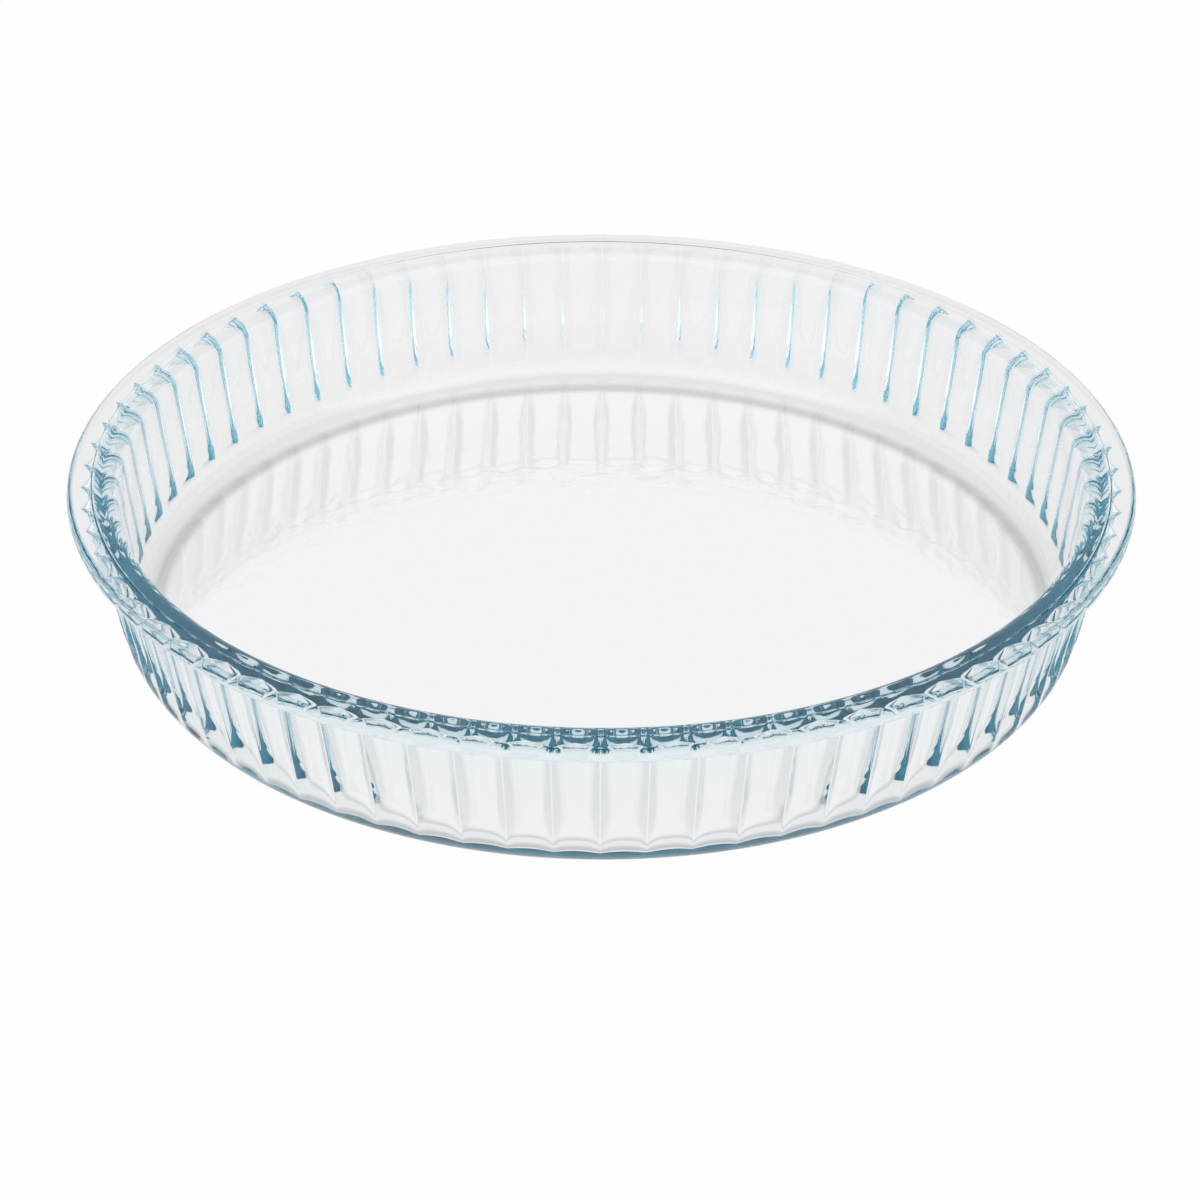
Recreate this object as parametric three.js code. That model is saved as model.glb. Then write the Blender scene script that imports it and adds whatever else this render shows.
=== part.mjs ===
// A round flan dish of pressed clear glass with a blue-green tint.
// It is one piece of glass: a flat floor, a leaning wall that is smooth inside and fluted outside,
// and a level rim with a rounded edge. Millimetres, +Z up, origin at the centre of the base.
// A ridge between two flutes faces -Y.
import * as THREE from "three";

// The whole dish
const RIM_DIAMETER = 280;
const HEIGHT = 44;

// The rim: a level ring that stands out past the wall
const RIM_OVERHANG = 5.2; // from the ridges of the wall to the rim's edge, at the rim's underside
const RIM_THICKNESS = 4;
const LIP_RADIUS = 4; // between the rim's level top and the inside of the wall

// The wall, which gets thinner from the rim to the foot, and the floor
const WALL_LEAN = 11.8; // of the outside, in degrees from upright
const INSIDE_LEAN = 6.5;
const WALL_THICKNESS_AT_RIM = 8.4; // level, from a ridge to the inside, at the rim's top
const FLOOR_THICKNESS = 4.8;
const BASE_CORNER_RADIUS = 11.9;
const INNER_CORNER_RADIUS = 7;

// The flutes: shallow scoops side by side that meet in sharp ridges
const FLUTE_COUNT = 72;
const FLUTE_DEPTH_AT_FOOT = 1.8;
const FLUTE_DEPTH_AT_RIM = 1.5;
const FLUTE_START_HEIGHT = 5; // on the base corner, where the flutes begin
const FLUTE_FULL_HEIGHT = 18; // where they have their full depth
const RIDGE_SHARPNESS = 3; // 2 gives round flutes, more gives flat ones with narrow ridges
const RIDGE_FLARE_HEIGHT = 3; // the ridges spread out into the rim over this height
const RIM_FLAT = 1.2; // level ring between the ends of the ridges and the round of the edge

// The glass
const GLASS_TINT = 0xcfe6ea;
const GLASS_ROUGHNESS = 0.04;
const GLASS_OPACITY = 0.35;

// Facets
const FACETS_PER_FLUTE = 3;
const CORNER_STEPS = 4;
const FLUTE_END_STEPS = 2;
const EDGE_STEPS = 4;
const LIP_STEPS = 3;

// Worked out from the sizes above
const rimRadius = RIM_DIAMETER / 2;
const edgeRadius = RIM_THICKNESS / 2;
const undersideHeight = HEIGHT - RIM_THICKNESS;
const lean = THREE.MathUtils.degToRad(WALL_LEAN);
const insideLean = THREE.MathUtils.degToRad(INSIDE_LEAN);
const cornerTop = BASE_CORNER_RADIUS * (1 - Math.sin(lean)); // where the wall becomes straight
const wallOut = { r: Math.cos(lean), z: -Math.sin(lean) };
const levelOut = { r: 1, z: 0 };

// Radius of the ridges on the straight wall at a height.
function ridgeRadius(z) {
  return rimRadius - RIM_OVERHANG - (undersideHeight - z) * Math.tan(lean);
}

// Radius of the smooth inside of the wall at a height.
function insideRadius(z) {
  return ridgeRadius(HEIGHT) - WALL_THICKNESS_AT_RIM - (HEIGHT - z) * Math.tan(insideLean);
}

// Depth of the flutes at a height: they grow smoothly out of the base corner, and get shallower with
// the square of the height on the way up to the rim.
function fluteDepth(z) {
  const rise = (z / undersideHeight) ** 2;
  const grown = THREE.MathUtils.smoothstep(z, FLUTE_START_HEIGHT, FLUTE_FULL_HEIGHT);
  return THREE.MathUtils.lerp(FLUTE_DEPTH_AT_FOOT, FLUTE_DEPTH_AT_RIM, rise) * grown;
}

// One ring of the dish: radius and height at a ridge, how deep the flutes are there, and the way
// out of the glass, along which that depth is measured.
function ring(r, z, depth = 0, out = levelOut) {
  return { r, z, depth, out };
}

// The outer corner: an arc from the flat base to the wall.
function baseCorner() {
  const r = ridgeRadius(BASE_CORNER_RADIUS) - BASE_CORNER_RADIUS / Math.cos(lean);
  const sweep = Math.PI / 2 - lean;
  return Array.from({ length: CORNER_STEPS + 1 }, (_, i) => {
    const turn = (sweep * i) / CORNER_STEPS;
    const out = { r: Math.sin(turn), z: -Math.cos(turn) };
    const z = BASE_CORNER_RADIUS * (1 + out.z);
    return ring(r + BASE_CORNER_RADIUS * out.r, z, fluteDepth(z), out);
  });
}

// The straight wall: rings where the flutes reach their full depth, and one under the rim.
function wall() {
  const heights = Array.from({ length: FLUTE_END_STEPS }, (_, i) =>
    THREE.MathUtils.lerp(cornerTop, FLUTE_FULL_HEIGHT, (i + 1) / FLUTE_END_STEPS),
  );
  heights.push(undersideHeight - RIDGE_FLARE_HEIGHT);
  return heights.map((z) => ring(ridgeRadius(z), z, fluteDepth(z), wallOut));
}

// The top of the wall: the ridges flare out under the rim, and the flutes between them run straight
// up to the rim's underside.
function wallTop() {
  const reach = RIM_OVERHANG - RIM_FLAT - edgeRadius;
  const r = ridgeRadius(undersideHeight) + reach;
  return [ring(r, undersideHeight, reach + FLUTE_DEPTH_AT_RIM)];
}

// The edge of the rim: a half circle from its underside to its top.
function rimEdge() {
  const z = undersideHeight + edgeRadius;
  const r = rimRadius - edgeRadius;
  return Array.from({ length: EDGE_STEPS + 1 }, (_, i) => {
    const turn = -Math.PI / 2 + (Math.PI * i) / EDGE_STEPS;
    return ring(r + edgeRadius * Math.cos(turn), z + edgeRadius * Math.sin(turn));
  });
}

// The lip: an arc from the rim's level top to the inside of the wall.
function lip() {
  const z = HEIGHT - LIP_RADIUS;
  const r = insideRadius(z) + LIP_RADIUS / Math.cos(insideLean);
  const sweep = Math.PI / 2 - insideLean;
  return Array.from({ length: LIP_STEPS + 1 }, (_, i) => {
    const turn = (sweep * i) / LIP_STEPS;
    return ring(r - LIP_RADIUS * Math.sin(turn), z + LIP_RADIUS * Math.cos(turn));
  });
}

// The inner corner: an arc from the wall's inside down to the floor.
function innerCorner() {
  const z = FLOOR_THICKNESS + INNER_CORNER_RADIUS;
  const r = insideRadius(z) - INNER_CORNER_RADIUS / Math.cos(insideLean);
  const sweep = Math.PI / 2 - insideLean;
  return Array.from({ length: CORNER_STEPS + 1 }, (_, i) => {
    const turn = sweep * (1 - i / CORNER_STEPS);
    return ring(r + INNER_CORNER_RADIUS * Math.sin(turn), z - INNER_CORNER_RADIUS * Math.cos(turn));
  });
}

// Hollow of a flute across its width, 1 in the middle and 0 at the ridges. The place is counted in
// flutes, with a ridge at each whole number.
function scoop(place) {
  const fromMiddle = Math.abs(2 * (place - Math.floor(place)) - 1);
  return 1 - fromMiddle ** RIDGE_SHARPNESS;
}

// The rings are turned round the axis, and each ring's vertices are then sunk into their flutes.
function dishGeometry() {
  const rings = [
    ring(0, 0),
    ...baseCorner(),
    ...wall(),
    ...wallTop(),
    ...rimEdge(),
    ...lip(),
    ...innerCorner(),
    ring(0, FLOOR_THICKNESS),
  ];
  const profile = rings.map(({ r, z }) => new THREE.Vector2(r, z));
  const facets = FLUTE_COUNT * FACETS_PER_FLUTE;
  const geometry = new THREE.LatheGeometry(profile, facets);
  const position = geometry.getAttribute("position");
  for (let facet = 0; facet <= facets; facet++) {
    const turn = (2 * Math.PI * facet) / facets;
    const hollow = scoop((facet % facets) / FACETS_PER_FLUTE);
    rings.forEach(({ r, z, depth, out }, i) => {
      const radius = r - depth * hollow * out.r;
      const height = z - depth * hollow * out.z;
      const vertex = facet * rings.length + i;
      position.setXYZ(vertex, radius * Math.sin(turn), height, radius * Math.cos(turn));
    });
  }
  geometry.rotateX(Math.PI / 2);
  geometry.computeVertexNormals();
  return geometry;
}

const glass = new THREE.MeshStandardMaterial({
  color: GLASS_TINT,
  roughness: GLASS_ROUGHNESS,
  metalness: 0,
  transparent: true,
  opacity: GLASS_OPACITY,
});

const dish = new THREE.Mesh(dishGeometry(), glass);
dish.name = "glass_dish";

const flanDish = new THREE.Group();
flanDish.add(dish);

export default flanDish;
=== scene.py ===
"""Fluted flan dish of pressed glass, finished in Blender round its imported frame."""

import math

import bpy
import numpy as np
from bpy.props import FloatProperty, FloatVectorProperty, IntProperty, PointerProperty
from mathutils import Matrix, Vector


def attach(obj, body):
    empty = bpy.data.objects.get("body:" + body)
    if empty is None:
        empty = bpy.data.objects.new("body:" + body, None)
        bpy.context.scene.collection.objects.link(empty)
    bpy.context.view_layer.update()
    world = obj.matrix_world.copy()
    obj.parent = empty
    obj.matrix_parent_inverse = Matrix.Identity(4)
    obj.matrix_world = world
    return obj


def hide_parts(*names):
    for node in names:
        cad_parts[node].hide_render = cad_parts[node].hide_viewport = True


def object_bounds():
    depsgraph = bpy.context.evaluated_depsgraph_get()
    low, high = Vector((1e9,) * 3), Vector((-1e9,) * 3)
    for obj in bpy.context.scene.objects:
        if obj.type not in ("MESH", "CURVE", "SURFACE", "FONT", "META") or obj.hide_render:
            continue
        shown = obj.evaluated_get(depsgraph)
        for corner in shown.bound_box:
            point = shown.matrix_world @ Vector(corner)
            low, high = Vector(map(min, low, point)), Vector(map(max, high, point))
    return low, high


bl_info = {
    "name": "Fluted glass flan dish",
    "version": (1, 0, 0),
    "blender": (4, 5, 0),
    "location": "View3D > Sidebar > Flan dish",
    "description": "Builds a fluted dish of pressed glass and a plain studio round it",
    "category": "Object",
}

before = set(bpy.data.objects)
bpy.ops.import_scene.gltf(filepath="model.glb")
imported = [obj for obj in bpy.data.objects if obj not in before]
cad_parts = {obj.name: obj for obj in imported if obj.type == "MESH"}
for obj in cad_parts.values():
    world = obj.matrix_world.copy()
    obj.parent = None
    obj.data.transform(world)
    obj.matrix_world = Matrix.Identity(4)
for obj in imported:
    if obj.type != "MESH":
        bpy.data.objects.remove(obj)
CAD_LOW, CAD_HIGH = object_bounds()
CAD_SIZE = CAD_HIGH - CAD_LOW

DISH_NODE = "glass_dish"
WHITE = (1.0, 1.0, 1.0, 1.0)

# How finely the surface is divided
COLUMNS_PER_FLUTE = 10
ROUND_ROWS = 15
STRAIGHT_ROWS = 10
FLARE_ROWS = 12
SMALL_ROWS = 6
SEAM_ROWS = 9

# The camera's sensor and its nearest sight, and how fine the glass's ripple is
SENSOR_WIDTH_MM = 36.0
CAMERA_NEAREST = 0.01
RIPPLE_DETAIL = 1.0


def length(name, description, default):
    """A length in metres that a user may change."""
    return FloatProperty(name=name, description=description, default=default, unit="LENGTH", precision=5)


def angle(name, description, degrees):
    """An angle that a user may change."""
    return FloatProperty(name=name, description=description, default=math.radians(degrees), subtype="ANGLE")


def number(name, description, default):
    """A plain number that a user may change."""
    return FloatProperty(name=name, description=description, default=default, precision=4)


def colour(name, description, default):
    """A colour that a user may change."""
    return FloatVectorProperty(
        name=name, description=description, default=default, subtype="COLOR", min=0.0, max=1.0
    )


class FlanDishSizes(bpy.types.PropertyGroup):
    """Sizes of the dish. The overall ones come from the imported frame."""

    rim_diameter: length("Rim diameter", "Across the rim's outer edge", CAD_SIZE.x)
    height: length("Height", "From the table to the top of the rim", CAD_SIZE.z)
    rim_overhang: length("Rim overhang", "From the wall's ridges to the rim's edge, under the rim", 0.0052)
    rim_thickness: length("Rim thickness", "Height of the rim's rounded edge", 0.004)
    lip_round: length("Lip round", "Radius between the rim's top and the inside of the wall", 0.0040)
    seam_diameter: length("Seam diameter", "Of the fine raised line that the mould leaves", 0.2666)
    seam_height: length("Seam height", "How far that line stands up from the rim's top", 0.00012)
    seam_width: length("Seam width", "Width of that line", 0.0008)
    wall_lean: angle("Wall lean", "Tilt of the outside of the wall from upright", 11.8)
    inside_lean: angle("Inside lean", "Tilt of the inside of the wall from upright", 6.5)
    wall_thickness: length("Wall thickness", "Level, from a ridge to the inside, at the rim's top", 0.0084)
    floor_thickness: length("Floor thickness", "Thickness of the floor", 0.0047)
    base_corner: length("Base corner", "Radius between the base and the outer wall", 0.0119)
    inner_corner: length("Inner corner", "How far the round between floor and wall reaches on each", 0.0105)
    flutes: IntProperty(name="Flutes", description="How many flutes go round the wall", default=72, min=3)
    flute_depth_foot: length("Flute depth at the foot", "How deep a flute is low on the wall", 0.0023)
    flute_depth_rim: length("Flute depth at the rim", "How deep a flute is at the top of the wall", 0.0013)
    flute_start: length("Flute start", "Height on the base corner where the flutes begin", 0.0065)
    flute_full: length("Flute full", "Height where the flutes have their full depth", 0.0165)
    ridge_sharpness: number("Ridge sharpness", "2 gives round flutes, more gives narrow ridges", 3.3)
    rim_sharpness: number("Ridge sharpness at the rim", "The same, where ridges spread into the rim", 1.2)
    ridge_flare: length("Ridge flare", "Height over which the ridges spread into the rim", 0.0030)
    flute_end_round: length("Flute end round", "Radius where a flute's middle meets the rim", 0.0003)
    rim_flat: length("Rim flat", "Level ring between the ridges' ends and the rim's round edge", 0.0012)
    ridge_softness: length("Ridge softness", "How far each side of a ridge is rounded off", 0.00015)

    def ridge_radius(self, height):
        """Radius of the ridges on the straight wall at a height."""
        below = self.height - self.rim_thickness - height
        return self.rim_diameter / 2 - self.rim_overhang - below * math.tan(self.wall_lean)

    def inside_radius(self, height):
        """Radius of the smooth inside of the wall at a height."""
        below = self.height - height
        return self.ridge_radius(self.height) - self.wall_thickness - below * math.tan(self.inside_lean)

    def flute_depth(self, height):
        """Depth of a flute at heights on the base corner and the wall: it grows smoothly from nothing on
        the corner, and gets less with the square of the height on the way up to the rim."""
        top = self.height - self.rim_thickness
        change = self.flute_depth_rim - self.flute_depth_foot
        steady = self.flute_depth_foot + (height / top) ** 2 * change
        grown = np.clip((height - self.flute_start) / (self.flute_full - self.flute_start), 0, 1)
        return steady * smooth_step(grown)


class FlanDishGlass(bpy.types.PropertyGroup):
    """Finish of the glass."""

    tint: colour("Tint", "What the glass lets through, in long paths", (0.0, 0.58, 0.71))
    tint_density: number("Tint density", "How soon the tint builds up, per metre", 10.0)
    ior: number("Bending of light", "Index of refraction", 1.5)
    roughness: number("Roughness", "Of the fire-polished surface", 0.0)
    ripple_scale: number("Ripple scale", "Ripples of the pressed surface per metre", 70.0)
    ripple_height: length("Ripple height", "Height of those ripples", 0.00012)


class FlanDishStage(bpy.types.PropertyGroup):
    """The floor, the light and the camera."""

    floor_colour: colour("Floor colour", "Of the plain pale floor", (0.95, 0.95, 0.95))
    floor_white: number("Floor white", "Share of the floor's white that no shadow falls on", 0.98)
    floor_tone: colour("Floor tone", "Of the floor as it is seen in the glass", (0.985, 0.945, 0.945))
    around_level: number("Around level", "Brightness of the floor round the dish, in the glass", 0.92)
    # Painted shade: how dim, and where, the ring under the foot is painted on the floor as seen in the
    # glass
    shade_level: number("Shade level", "Brightness of the floor under the foot, in the glass", 0.66)
    shade_inner: length("Shade inner", "Radius where that shade begins", 0.1155)
    shade_full: length("Shade full", "Radius where it is deepest", 0.1195)
    shade_outer: length("Shade outer", "Radius where it ends", 0.1245)
    floor_radius: length("Floor radius", "How far the floor reaches", 8.0)
    floor_gap: length("Floor gap", "Film of air between the floor and the glass", 0.0004)
    room_colour: colour("Room colour", "Of the dim room at the sides and overhead", (0.03, 0.07, 0.09))
    front_level: number("Front level", "Brightness of the soft light on the camera's side", 1.52)
    front_start: angle("Front start", "Turn from straight behind the dish where that light begins", 95.0)
    front_full: angle("Front full", "Turn where it has its full brightness", 115.0)
    back_level: number("Back level", "Brightness of the white sheet behind the dish", 0.8)
    back_core: angle("Back core", "Half the width of that sheet where it is fully white", 12.0)
    back_edge: angle("Back edge", "Half its width where it ends", 24.0)
    sweep_level: number("Sweep level", "Brightness of the low white sweep at the sides and front", 1.12)
    sweep_start: angle("Sweep start", "Turn from straight behind the dish where the sweep begins", 40.0)
    sweep_full: angle("Sweep full", "Turn where it has its full brightness", 65.0)
    sweep_top: angle("Sweep top", "Height above the horizon where the sweep is still full", 14.0)
    sweep_end: angle("Sweep end", "Height above the horizon where it ends", 28.0)
    light_top: angle("Light top", "Height above the horizon where both lights are still full", 55.0)
    light_end: angle("Light end", "Height above the horizon where both lights end", 72.0)
    bounces: IntProperty(
        name="Bounces", description="How often light may turn inside the glass", default=48, min=8
    )
    camera_elevation: angle("Camera elevation", "Above the table", 30.971)
    camera_distance: length("Camera distance", "From the centre of the base", 1.0302)
    camera_pan: angle("Camera pan", "Turn of the camera off the centre", -0.0144)
    camera_tilt: angle("Camera tilt", "Nod of the camera off the centre", -0.0549)
    camera_roll: angle("Camera roll", "Turn of the camera about its line of sight", -0.2018)
    camera_lens: number("Camera lens", "Focal length in mm on a 36 mm wide sensor", 114.776)


def spaced(start, end, rows):
    """Points on the straight line from start to end, both included, closer together near the ends."""
    share = (1 - np.cos(np.linspace(0, np.pi, rows))) / 2
    return np.asarray(start) + share[:, None] * (np.asarray(end) - np.asarray(start))


def arc(centre, radius, first, last, rows):
    """Points on a circle. Angles are counted from straight down, through straight out, to straight up."""
    turn = np.linspace(first, last, rows)
    return np.asarray(centre) + radius * np.column_stack([np.sin(turn), -np.cos(turn)])


def round_corner(before, corner, after, radius, rows):
    """Points of the arc of that radius that touches the lines from the corner to its two neighbours.

    Its centre lies on the line that halves the corner, at the radius over the sine of half the angle.
    """
    before, corner, after = (np.asarray(p, float) for p in (before, corner, after))
    back = (before - corner) / np.linalg.norm(before - corner)
    on = (after - corner) / np.linalg.norm(after - corner)
    half = math.acos(float(back @ on)) / 2
    middle = (back + on) / np.linalg.norm(back + on)
    centre = corner + middle * radius / math.sin(half)
    first = (corner + back * radius / math.tan(half) - centre) / radius
    last = (corner + on * radius / math.tan(half) - centre) / radius
    sweep = math.pi - 2 * half
    share = np.linspace(0, 1, rows)[:, None]
    turned = np.sin((1 - share) * sweep) * first + np.sin(share * sweep) * last
    return centre + radius * turned / math.sin(sweep)


def eased_corner(before, corner, after, reach, rows):
    """Points of a curve that leaves the one line at the reach before the corner and joins the other line
    at the reach after it.

    It is a cubic Bezier curve with both middle points at the corner, so that its bend grows from nothing
    and goes back to nothing.
    """
    before, corner, after = (np.asarray(p, float) for p in (before, corner, after))
    start = corner + reach * (before - corner) / np.linalg.norm(before - corner)
    end = corner + reach * (after - corner) / np.linalg.norm(after - corner)
    share = np.linspace(0, 1, rows)[:, None]
    rest = 1 - share
    return rest**3 * start + 3 * rest * share * corner + share**3 * end


def smooth_step(share):
    """Rises smoothly from 0 to 1."""
    return share * share * (3 - 2 * share)


def base_rows(sizes):
    """The flat base and its round corner, along a ridge and along the middle of a flute.

    The flute's depth is measured square to the surface.
    """
    centre_height = sizes.base_corner
    centre_radius = sizes.ridge_radius(centre_height) - sizes.base_corner / math.cos(sizes.wall_lean)
    flat = spaced((0.0, 0.0), (centre_radius, 0.0), STRAIGHT_ROWS)[:-1]
    centre = np.array([centre_radius, centre_height])
    ridge = arc(centre, sizes.base_corner, 0.0, math.pi / 2 - sizes.wall_lean, ROUND_ROWS)
    out = (ridge - centre) / sizes.base_corner
    depth = sizes.flute_depth(ridge[:, 1])
    return np.vstack([flat, ridge]), np.vstack([flat, ridge - depth[:, None] * out])


def wall_rows(sizes):
    """The straight wall, along a ridge and along the middle of a flute."""
    lean = sizes.wall_lean
    foot = sizes.base_corner * (1 - math.sin(lean))
    top = sizes.height - sizes.seam_height - sizes.rim_thickness - sizes.ridge_flare
    ridge = spaced((sizes.ridge_radius(foot), foot), (sizes.ridge_radius(top), top), STRAIGHT_ROWS)[1:-1]
    out = np.array([math.cos(lean), -math.sin(lean)])
    return ridge, ridge - sizes.flute_depth(ridge[:, 1])[:, None] * out


def flare_rows(sizes):
    """The top of the wall: a ridge sweeps out under the rim on a quarter of an ellipse, and the middle of a
    flute runs straight up and turns out on a small quarter circle."""
    underside = sizes.height - sizes.seam_height - sizes.rim_thickness
    reach = sizes.rim_overhang - sizes.rim_flat - sizes.rim_thickness / 2
    turn = np.linspace(0, math.pi / 2, FLARE_ROWS)
    height = underside - sizes.ridge_flare * (1 - np.sin(turn))
    wall = sizes.ridge_radius(height)
    ridge = np.column_stack([wall + reach * (1 - np.cos(turn)), height])
    end = sizes.flute_end_round
    rise = np.clip((height - underside + end) / end, 0, 1)
    middle = np.column_stack([wall - sizes.flute_depth(height) + end * (1 - np.sqrt(1 - rise**2)), height])
    return ridge, middle


def rim_rows(sizes):
    """The rim's half-round edge, from its underside to its top."""
    edge = sizes.rim_thickness / 2
    centre = (sizes.rim_diameter / 2 - edge, sizes.height - sizes.seam_height - edge)
    rows = arc(centre, edge, 0.0, math.pi, ROUND_ROWS)
    return rows, rows


def seam_rows(sizes):
    """The rim's top between its edge and its lip, level but for a fine raised line on it.

    The line's section is half a wave of a cosine. The top lies below the dish's full height by the line's
    height, so that the line's crest reaches it.
    """
    lip = round_corner(*lip_corners(sizes), sizes.lip_round, SMALL_ROWS)[0]
    edge = (sizes.rim_diameter / 2 - sizes.rim_thickness / 2, lip[1])
    share = np.linspace(-1, 1, SEAM_ROWS)
    seam = np.column_stack([
        sizes.seam_diameter / 2 - share * sizes.seam_width / 2,
        lip[1] + sizes.seam_height * (1 + np.cos(np.pi * share)) / 2,
    ])
    outside = spaced(edge, seam[0], SMALL_ROWS)[1:-1]
    inside = spaced(seam[-1], lip, SMALL_ROWS)[1:-1]
    rows = np.vstack([outside, seam, inside])
    return rows, rows


def lip_corners(sizes):
    """Corners that the lip's round lies between: the rim's edge, the lip and the inner corner."""
    top = sizes.height - sizes.seam_height
    edge = (sizes.rim_diameter / 2 - sizes.rim_thickness / 2, top)
    lip = (sizes.inside_radius(top), top)
    floor = sizes.floor_thickness
    return edge, lip, (sizes.inside_radius(floor), floor)


def inside_rows(sizes):
    """The lip, the inside of the wall, the inner corner and the floor."""
    edge, lip, corner = lip_corners(sizes)
    middle = (0.0, sizes.floor_thickness)
    lip_arc = round_corner(edge, lip, corner, sizes.lip_round, ROUND_ROWS)
    corner_arc = eased_corner(lip, corner, middle, sizes.inner_corner, ROUND_ROWS)
    rows = np.vstack([
        lip_arc,
        spaced(lip_arc[-1], corner_arc[0], STRAIGHT_ROWS)[1:-1],
        corner_arc,
        spaced(corner_arc[-1], middle, STRAIGHT_ROWS)[1:],
    ])
    return rows, rows


def flute_columns(sizes):
    """Angle of each column of points round the dish, and how far it lies from a flute's middle, with 1 at a
    ridge.

    Across a flute, from 0 at one ridge to 1 at the next, the columns stand closer together near the ridges.
    The distance from the nearer ridge is the long side of a triangle whose short side is the ridge's
    softness, less that softness, so that the ridge is a little round.
    """
    pitch = math.pi * sizes.rim_diameter / sizes.flutes
    soft = sizes.ridge_softness / pitch
    place = (1 - np.cos(np.linspace(0, np.pi, COLUMNS_PER_FLUTE, endpoint=False))) / 2
    near = np.minimum(place, 1 - place)
    near = (np.hypot(near, soft) - soft) / (np.hypot(0.5, soft) - soft)
    angles = (np.arange(sizes.flutes)[:, None] + place) * (2 * np.pi / sizes.flutes)
    return angles.ravel(), np.tile(1 - near, sizes.flutes)


def dish_points(sizes):
    """Points of the dish, row by row, from the pole under the floor to the pole on it.

    Each point lies on its row between the flute middle's profile and the ridge's, as far along as its
    column's distance from the middle raised to the row's sharpness, and is then turned round the axis by
    its column's angle. Angle 0 is -Y. The sharpness changes smoothly over the height of the ridges' flare.
    """
    sections = (base_rows, wall_rows, flare_rows, rim_rows, seam_rows, inside_rows)
    parts = [section(sizes) for section in sections]
    ridge = np.vstack([part[0] for part in parts])
    middle = np.vstack([part[1] for part in parts])
    angles, from_middle = flute_columns(sizes)
    flare = (ridge[:, 1] - sizes.height + sizes.rim_thickness + sizes.ridge_flare) / sizes.ridge_flare
    spread = smooth_step(np.clip(flare, 0, 1))
    sharpness = sizes.ridge_sharpness + spread * (sizes.rim_sharpness - sizes.ridge_sharpness)
    share = from_middle[None, :] ** sharpness[:, None]
    rows = middle[:, None, :] + share[..., None] * (ridge - middle)[:, None, :]
    radius, height = rows[..., 0], rows[..., 1]
    return np.stack([radius * np.sin(angles), -radius * np.cos(angles), height], axis=-1)


def lathe_mesh(name, points):
    """A closed mesh from rows of points that go round an axis. The first and the last row are poles.

    Between two rows the faces have four corners, and at a pole three.
    """
    rows, columns = points.shape[:2]
    ring = points[1:-1].reshape(-1, 3)
    vertices = np.vstack([points[:1, 0], ring, points[-1:, 0]])
    here = 1 + np.arange((rows - 2) * columns).reshape(rows - 2, columns)
    right = np.roll(here, -1, axis=1)
    quads = np.stack([here[:-1], right[:-1], right[1:], here[1:]], axis=-1).reshape(-1, 4)
    first = np.stack([np.zeros(columns, int), right[0], here[0]], axis=-1)
    last = np.stack([np.full(columns, len(vertices) - 1), here[-1], right[-1]], axis=-1)
    corners = np.concatenate([quads.ravel(), first.ravel(), last.ravel()])
    sides = np.concatenate([np.full(len(quads), 4), np.full(2 * columns, 3)])
    mesh = bpy.data.meshes.new(name)
    mesh.vertices.add(len(vertices))
    mesh.vertices.foreach_set("co", vertices.ravel())
    mesh.loops.add(len(corners))
    mesh.loops.foreach_set("vertex_index", corners)
    mesh.polygons.add(len(sides))
    mesh.polygons.foreach_set("loop_start", np.concatenate([[0], np.cumsum(sides)[:-1]]))
    mesh.polygons.foreach_set("use_smooth", np.ones(len(sides), bool))
    mesh.update(calc_edges=True)
    mesh.validate()
    return mesh


def new_material(name):
    """A material with an empty node tree, and its output."""
    material = bpy.data.materials.new(name)
    material.use_nodes = True
    tree = material.node_tree
    tree.nodes.clear()
    return material, tree, tree.nodes.new("ShaderNodeOutputMaterial")


def node_maths(tree, kind, first, second):
    """Output of a maths node. Each of its two inputs is an output of another node or a number."""
    node = tree.nodes.new("ShaderNodeMath")
    node.operation = kind
    for socket, value in zip(node.inputs, (first, second)):
        if isinstance(value, bpy.types.NodeSocket):
            tree.links.new(value, socket)
        else:
            socket.default_value = value
    return node.outputs["Value"]


def node_rise(tree, value, start, end, low, high):
    """Output of a node that goes smoothly from low to high while the value goes from start to end."""
    node = tree.nodes.new("ShaderNodeMapRange")
    node.interpolation_type = "SMOOTHSTEP"
    limits = {"From Min": start, "From Max": end, "To Min": low, "To Max": high}
    for name, limit in limits.items():
        node.inputs[name].default_value = limit
    tree.links.new(value, node.inputs["Value"])
    return node.outputs["Result"]


def seen_rays(tree):
    """1 for what is seen directly, in a reflection or through glass, and 0 for light on surfaces."""
    ray = tree.nodes.new("ShaderNodeLightPath").outputs
    glass = node_maths(tree, "MAXIMUM", ray["Is Glossy Ray"], ray["Is Transmission Ray"])
    return node_maths(tree, "MAXIMUM", ray["Is Camera Ray"], glass)


def mix_shaders(tree, share, first, second):
    """The first shader with a share of the second."""
    mix = tree.nodes.new("ShaderNodeMixShader")
    tree.links.new(share, mix.inputs["Fac"])
    tree.links.new(first, mix.inputs[1])
    tree.links.new(second, mix.inputs[2])
    return mix.outputs["Shader"]


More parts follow.
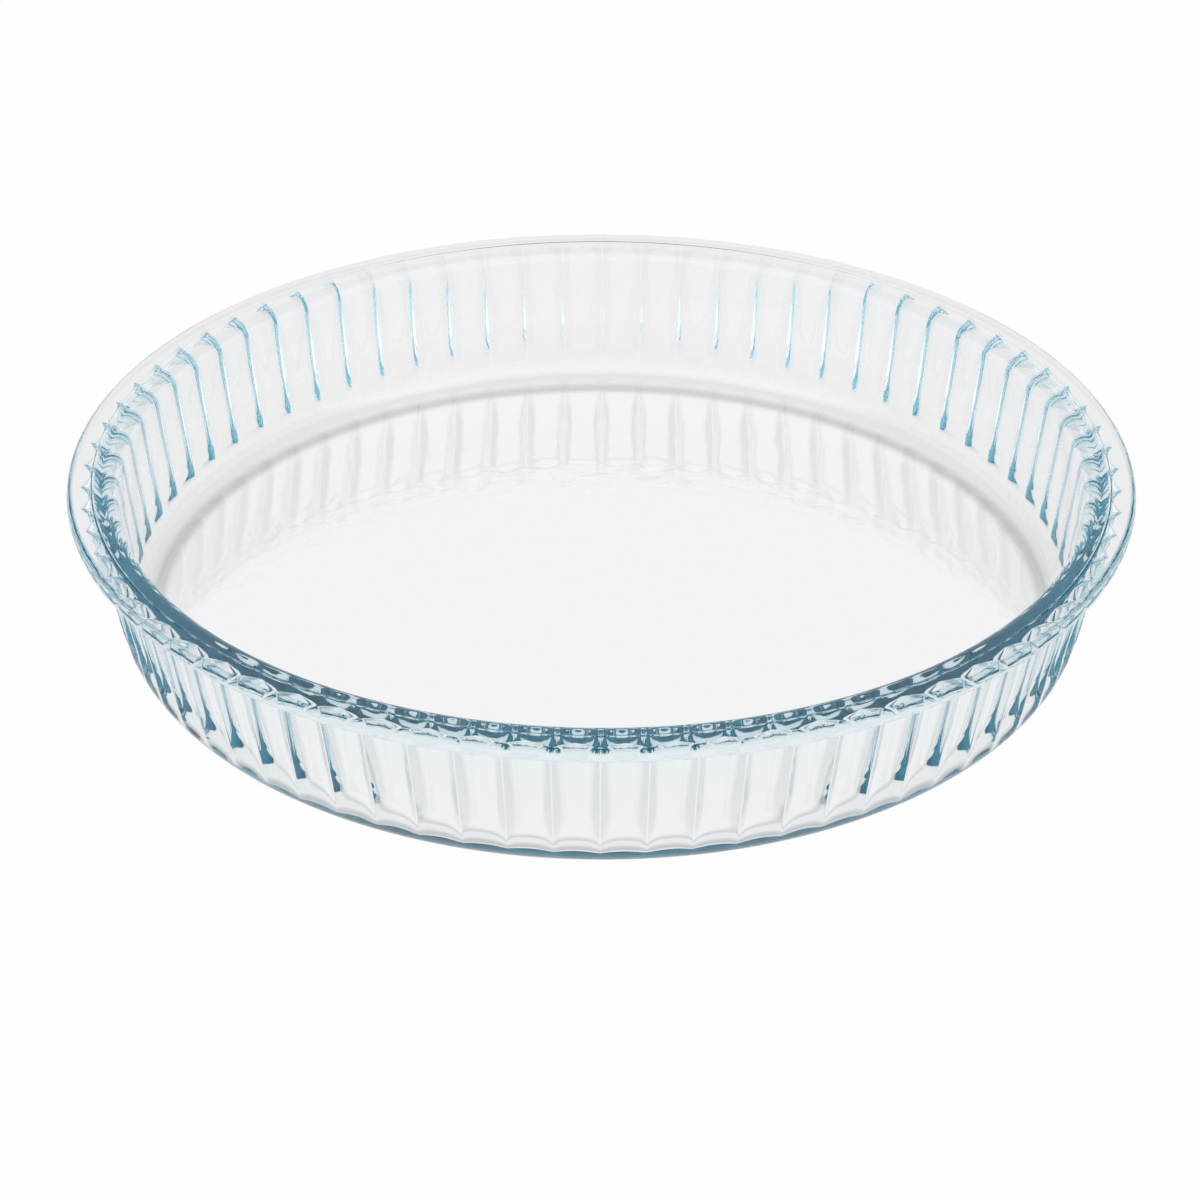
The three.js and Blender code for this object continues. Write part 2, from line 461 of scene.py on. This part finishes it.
def pressed_glass(finish):
    """Clear glass that bends light, with a tint that builds up inside it and the ripple of pressing."""
    material, tree, output = new_material("pressed_glass")
    glass = tree.nodes.new("ShaderNodeBsdfPrincipled")
    glass.inputs["Base Color"].default_value = WHITE
    glass.inputs["Roughness"].default_value = finish.roughness
    glass.inputs["IOR"].default_value = finish.ior
    glass.inputs["Transmission Weight"].default_value = 1.0
    tree.links.new(glass.outputs["BSDF"], output.inputs["Surface"])
    place = tree.nodes.new("ShaderNodeTexCoord")
    ripple = tree.nodes.new("ShaderNodeTexNoise")
    ripple.inputs["Scale"].default_value = finish.ripple_scale
    ripple.inputs["Detail"].default_value = RIPPLE_DETAIL
    tree.links.new(place.outputs["Object"], ripple.inputs["Vector"])
    bump = tree.nodes.new("ShaderNodeBump")
    bump.inputs["Distance"].default_value = finish.ripple_height
    tree.links.new(ripple.outputs["Fac"], bump.inputs["Height"])
    tree.links.new(bump.outputs["Normal"], glass.inputs["Normal"])
    inside = tree.nodes.new("ShaderNodeVolumeAbsorption")
    inside.inputs["Color"].default_value = (*finish.tint, 1)
    inside.inputs["Density"].default_value = finish.tint_density
    tree.links.new(inside.outputs["Volume"], output.inputs["Volume"])
    return material


def painted_foot_shade(tree, stage):
    """Brightness of the floor that is seen in the glass: 1 under the dish, a painted shade that dims a soft
    ring under the round corner of its foot, and a little less than 1 round the dish."""
    place = tree.nodes.new("ShaderNodeTexCoord")
    size = tree.nodes.new("ShaderNodeVectorMath")
    size.operation = "LENGTH"
    tree.links.new(place.outputs["Object"], size.inputs["Vector"])
    radius = size.outputs["Value"]
    inner = node_rise(tree, radius, stage.shade_inner, stage.shade_full, 1.0, stage.shade_level)
    lift = stage.around_level - stage.shade_level
    outer = node_rise(tree, radius, stage.shade_full, stage.shade_outer, 0.0, lift)
    return node_maths(tree, "ADD", inner, outer)


def pale_floor(stage):
    """A plain matt floor. What the camera sees of it is mostly an even white, so that its shadow is a light
    one. In the glass it is seen with its own tone and with a painted shade under the foot."""
    material, tree, output = new_material("pale_floor")
    matt = tree.nodes.new("ShaderNodeBsdfDiffuse")
    matt.inputs["Color"].default_value = (*stage.floor_colour, 1)
    white = tree.nodes.new("ShaderNodeEmission")
    toned = tree.nodes.new("ShaderNodeEmission")
    toned.inputs["Color"].default_value = (*stage.floor_tone, 1)
    # Painted shade: the floor as seen in the glass is dimmed in a ring under the foot
    tree.links.new(painted_foot_shade(tree, stage), toned.inputs["Strength"])
    direct = tree.nodes.new("ShaderNodeLightPath").outputs["Is Camera Ray"]
    seen = mix_shaders(tree, direct, toned.outputs["Emission"], white.outputs["Emission"])
    share = node_maths(tree, "MULTIPLY", seen_rays(tree), stage.floor_white)
    tree.links.new(mix_shaders(tree, share, matt.outputs["BSDF"], seen), output.inputs["Surface"])
    return material


def link(scene, name, data):
    """A new object at the origin, in the scene."""
    made = bpy.data.objects.new(name, data)
    scene.collection.objects.link(made)
    return made


def studio_world(scene, stage):
    """A dim room with a soft light on the camera's side, a white sheet behind the dish and a low white
    sweep at its sides and front, so that clear glass gets dark edges. The camera sees plain white where the
    floor ends."""
    world = bpy.data.worlds.new("studio")
    scene.world = world
    world.use_nodes = True
    tree = world.node_tree
    tree.nodes.clear()
    output = tree.nodes.new("ShaderNodeOutputWorld")
    place = tree.nodes.new("ShaderNodeTexCoord")
    parts = tree.nodes.new("ShaderNodeSeparateXYZ")
    tree.links.new(place.outputs["Generated"], parts.inputs["Vector"])
    turn = node_maths(tree, "ARCTAN2", parts.outputs["X"], parts.outputs["Y"])
    turn = node_maths(tree, "ABSOLUTE", turn, 0.0)
    front = node_rise(tree, turn, stage.front_start, stage.front_full, 0.0, stage.front_level)
    back = node_rise(tree, turn, stage.back_core, stage.back_edge, stage.back_level, 0.0)
    rise = parts.outputs["Z"]
    low = node_rise(tree, rise, math.sin(stage.light_top), math.sin(stage.light_end), 1.0, 0.0)
    high = node_maths(tree, "MULTIPLY", node_maths(tree, "ADD", front, back), low)
    aside = node_rise(tree, turn, stage.sweep_start, stage.sweep_full, 0.0, stage.sweep_level)
    under = node_rise(tree, rise, math.sin(stage.sweep_top), math.sin(stage.sweep_end), 1.0, 0.0)
    sweep = node_maths(tree, "MULTIPLY", aside, under)
    light = tree.nodes.new("ShaderNodeBackground")
    light.inputs["Color"].default_value = WHITE
    tree.links.new(node_maths(tree, "MAXIMUM", high, sweep), light.inputs["Strength"])
    dim = tree.nodes.new("ShaderNodeBackground")
    dim.inputs["Color"].default_value = (*stage.room_colour, 1)
    room = tree.nodes.new("ShaderNodeAddShader")
    tree.links.new(light.outputs["Background"], room.inputs[0])
    tree.links.new(dim.outputs["Background"], room.inputs[1])
    white = tree.nodes.new("ShaderNodeBackground")
    white.inputs["Color"].default_value = WHITE
    ray = tree.nodes.new("ShaderNodeLightPath")
    direct = ray.outputs["Is Camera Ray"]
    seen = mix_shaders(tree, direct, room.outputs["Shader"], white.outputs["Background"])
    tree.links.new(seen, output.inputs["Surface"])


def photo_camera(scene, stage):
    """A camera that looks at the centre of the base, from -Y, with small turns off that line."""
    data = bpy.data.cameras.new("photo_camera")
    data.sensor_width = SENSOR_WIDTH_MM
    data.lens = stage.camera_lens
    data.clip_start = CAMERA_NEAREST
    rise = stage.camera_elevation
    eye = stage.camera_distance * Vector((0, -math.cos(rise), math.sin(rise)))
    back = eye.normalized()
    right = Vector((1, 0, 0))
    level = Matrix((right, back.cross(right), back))
    off = (
        Matrix.Rotation(stage.camera_roll, 3, "Z")
        @ Matrix.Rotation(stage.camera_tilt, 3, "X")
        @ Matrix.Rotation(stage.camera_pan, 3, "Y")
    )
    camera = link(scene, "photo_camera", data)
    camera.matrix_world = Matrix.LocRotScale(eye, (off @ level).transposed(), None)
    scene.camera = camera


class FLAN_DISH_OT_glass(bpy.types.Operator):
    """Build the glass dish in place of its plain solid"""

    bl_idname = "flan_dish.glass"
    bl_label = "Glass dish"

    def execute(self, context):
        sizes = context.scene.flan_dish_sizes
        mesh = lathe_mesh("pressed_dish", dish_points(sizes))
        mesh.materials.append(pressed_glass(context.scene.flan_dish_glass))
        dish = link(context.scene, "pressed_dish", mesh)
        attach(dish, "root")
        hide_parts(DISH_NODE)
        return {"FINISHED"}


class FLAN_DISH_OT_stage(bpy.types.Operator):
    """Build the floor, the light and the camera"""

    bl_idname = "flan_dish.stage"
    bl_label = "Stage"

    def execute(self, context):
        scene = context.scene
        stage = scene.flan_dish_stage
        scene.view_settings.view_transform = "Standard"
        reach = stage.floor_radius
        low = -stage.floor_gap
        mesh = bpy.data.meshes.new("floor")
        corners = [(-reach, -reach, low), (reach, -reach, low), (reach, reach, low), (-reach, reach, low)]
        mesh.from_pydata(corners, [], [range(len(corners))])
        mesh.materials.append(pale_floor(stage))
        link(scene, "floor", mesh)
        studio_world(scene, stage)
        photo_camera(scene, stage)
        scene.cycles.max_bounces = stage.bounces
        scene.cycles.glossy_bounces = stage.bounces
        scene.cycles.transmission_bounces = stage.bounces
        return {"FINISHED"}


class FLAN_DISH_PT_sidebar(bpy.types.Panel):
    """Lists the steps that build the dish, with their sizes and colours"""

    bl_idname = "FLAN_DISH_PT_sidebar"
    bl_label = "Flan dish"
    bl_space_type = "VIEW_3D"
    bl_region_type = "UI"
    bl_category = "Flan dish"

    def draw(self, context):
        scene = context.scene
        for step, groups in (
            (FLAN_DISH_OT_glass, (scene.flan_dish_sizes, scene.flan_dish_glass)),
            (FLAN_DISH_OT_stage, (scene.flan_dish_stage,)),
        ):
            self.layout.operator(step.bl_idname)
            for group in groups:
                for name in group.__annotations__:
                    self.layout.prop(group, name)


GROUPS = {
    "flan_dish_sizes": FlanDishSizes,
    "flan_dish_glass": FlanDishGlass,
    "flan_dish_stage": FlanDishStage,
}
STEPS = (FLAN_DISH_OT_glass, FLAN_DISH_OT_stage)


def register():
    for name, group in GROUPS.items():
        bpy.utils.register_class(group)
        setattr(bpy.types.Scene, name, PointerProperty(type=group))
    for step in STEPS:
        bpy.utils.register_class(step)
    bpy.utils.register_class(FLAN_DISH_PT_sidebar)


def unregister():
    bpy.utils.unregister_class(FLAN_DISH_PT_sidebar)
    for step in reversed(STEPS):
        bpy.utils.unregister_class(step)
    for name, group in reversed(GROUPS.items()):
        delattr(bpy.types.Scene, name)
        bpy.utils.unregister_class(group)


def main():
    register()
    bpy.ops.flan_dish.glass()
    bpy.ops.flan_dish.stage()


if __name__ == "__main__":
    main()
